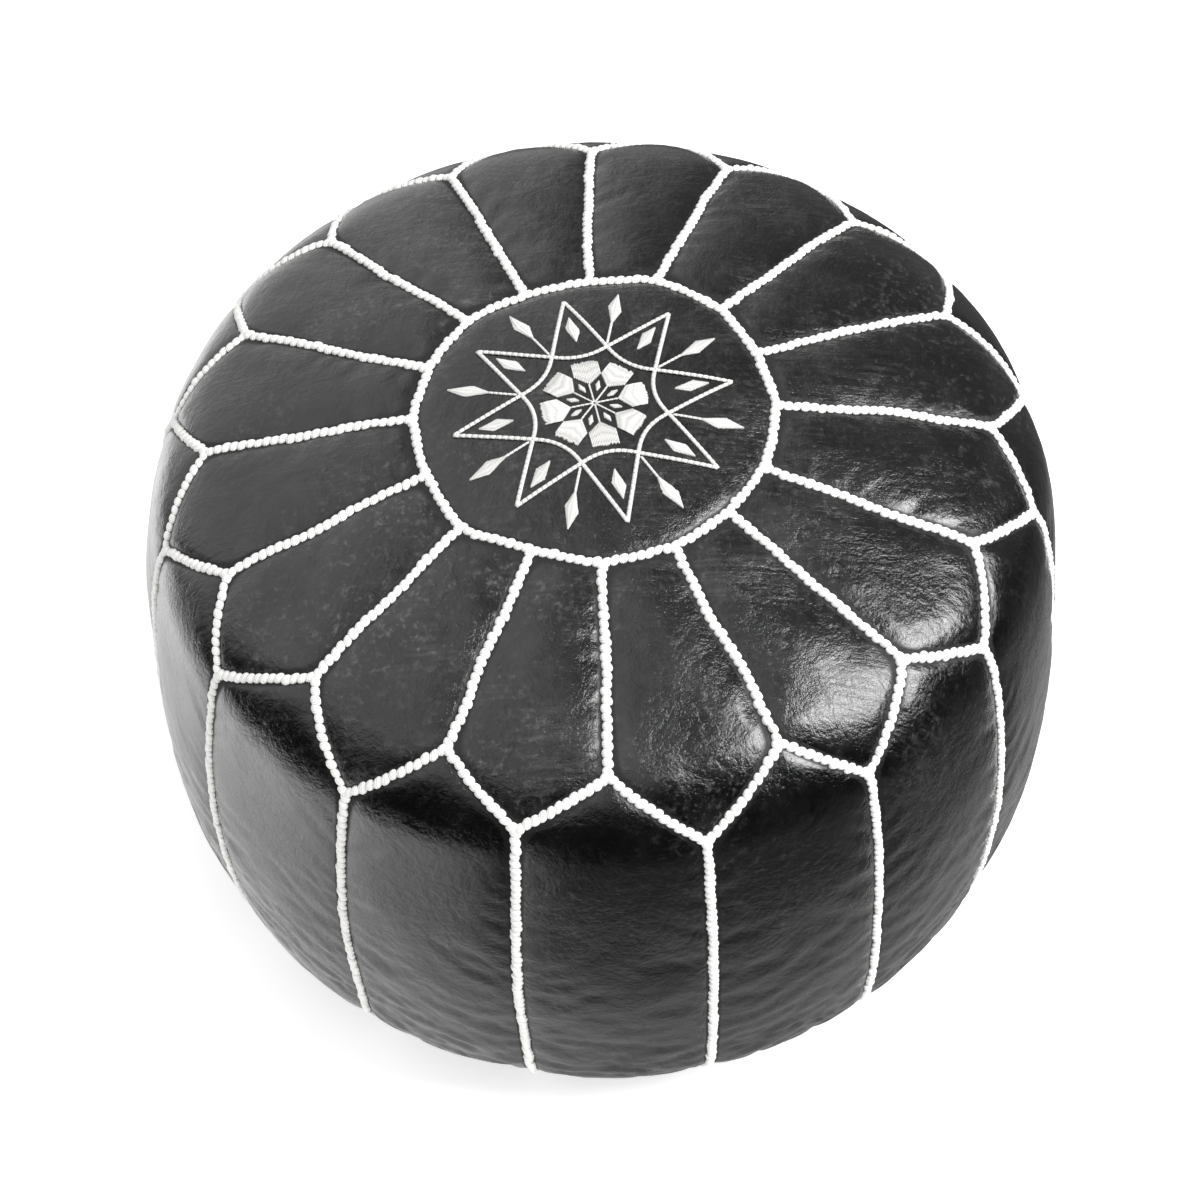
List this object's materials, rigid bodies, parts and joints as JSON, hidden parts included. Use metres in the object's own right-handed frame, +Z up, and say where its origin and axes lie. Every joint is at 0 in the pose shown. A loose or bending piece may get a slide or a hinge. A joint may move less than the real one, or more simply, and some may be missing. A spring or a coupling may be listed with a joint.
{
  "type": "leather pouf",
  "caption": "Round stuffed leather pouf with a pieced cover, overcast seams, an embroidered medallion on top, and a zipper in the base.",
  "frame": {"origin": "centre of the footprint, on the floor", "axes": "+Z up along the pouf's axis; +X along the zipper, towards its closed end; -Y is the front, where a radial seam points"},
  "size_m": [0.52, 0.52, 0.3367],
  "materials": {
    "cover_leather": "gloss",
    "base_leather": "satin",
    "wadding": "matte",
    "seam_thread": "satin",
    "embroidery_thread": "satin",
    "zipper_tape": "matte",
    "zipper_metal": "satin"
  },
  "bodies": {
    "root": {"medallion": "cover_leather", "petal_01": "cover_leather", "petal_02": "cover_leather", "petal_03": "cover_leather", "petal_04": "cover_leather", "petal_05": "cover_leather", "petal_06": "cover_leather", "petal_07": "cover_leather", "petal_08": "cover_leather", "petal_09": "cover_leather", "petal_10": "cover_leather", "petal_11": "cover_leather", "petal_12": "cover_leather", "petal_13": "cover_leather", "petal_14": "cover_leather", "petal_15": "cover_leather", "petal_16": "cover_leather", "side_panel_01": "cover_leather", "side_panel_02": "cover_leather", "side_panel_03": "cover_leather", "side_panel_04": "cover_leather", "side_panel_05": "cover_leather", "side_panel_06": "cover_leather", "side_panel_07": "cover_leather", "side_panel_08": "cover_leather", "side_panel_09": "cover_leather", "side_panel_10": "cover_leather", "side_panel_11": "cover_leather", "side_panel_12": "cover_leather", "side_panel_13": "cover_leather", "side_panel_14": "cover_leather", "side_panel_15": "cover_leather", "side_panel_16": "cover_leather", "base_half_front": "base_leather", "base_half_back": "base_leather", "filling": "wadding", "medallion_seam": "seam_thread", "radial_seams": "seam_thread", "chevron_seam": "seam_thread", "side_seams": "seam_thread", "star_outline": "embroidery_thread", "inner_leaves": "embroidery_thread", "outer_leaves": "embroidery_thread", "rosette_blocks": "embroidery_thread", "rosette_leaves": "embroidery_thread", "rosette_rays": "embroidery_thread", "zipper_tape_front": "zipper_tape", "zipper_tape_back": "zipper_tape", "zipper_teeth_front": "zipper_metal", "zipper_teeth_back": "zipper_metal", "zipper_top_stops": "zipper_metal", "zipper_bottom_stop": "zipper_metal"},
    "slider": {"zipper_slider": "zipper_metal"},
    "pull": {"zipper_pull": "zipper_metal"}
  },
  "joints": [
    {"name": "zipper_slide", "type": "slide", "parent": "root", "child": "slider", "axis": [-1, 0, 0], "range_m": [0, 0.2375]},
    {"name": "pull_swing", "type": "hinge", "parent": "slider", "child": "pull", "pos_m": [0.11879, 0, 0.00575], "axis": [0, -1, 0], "range_deg": [0, 170]}
  ]
}
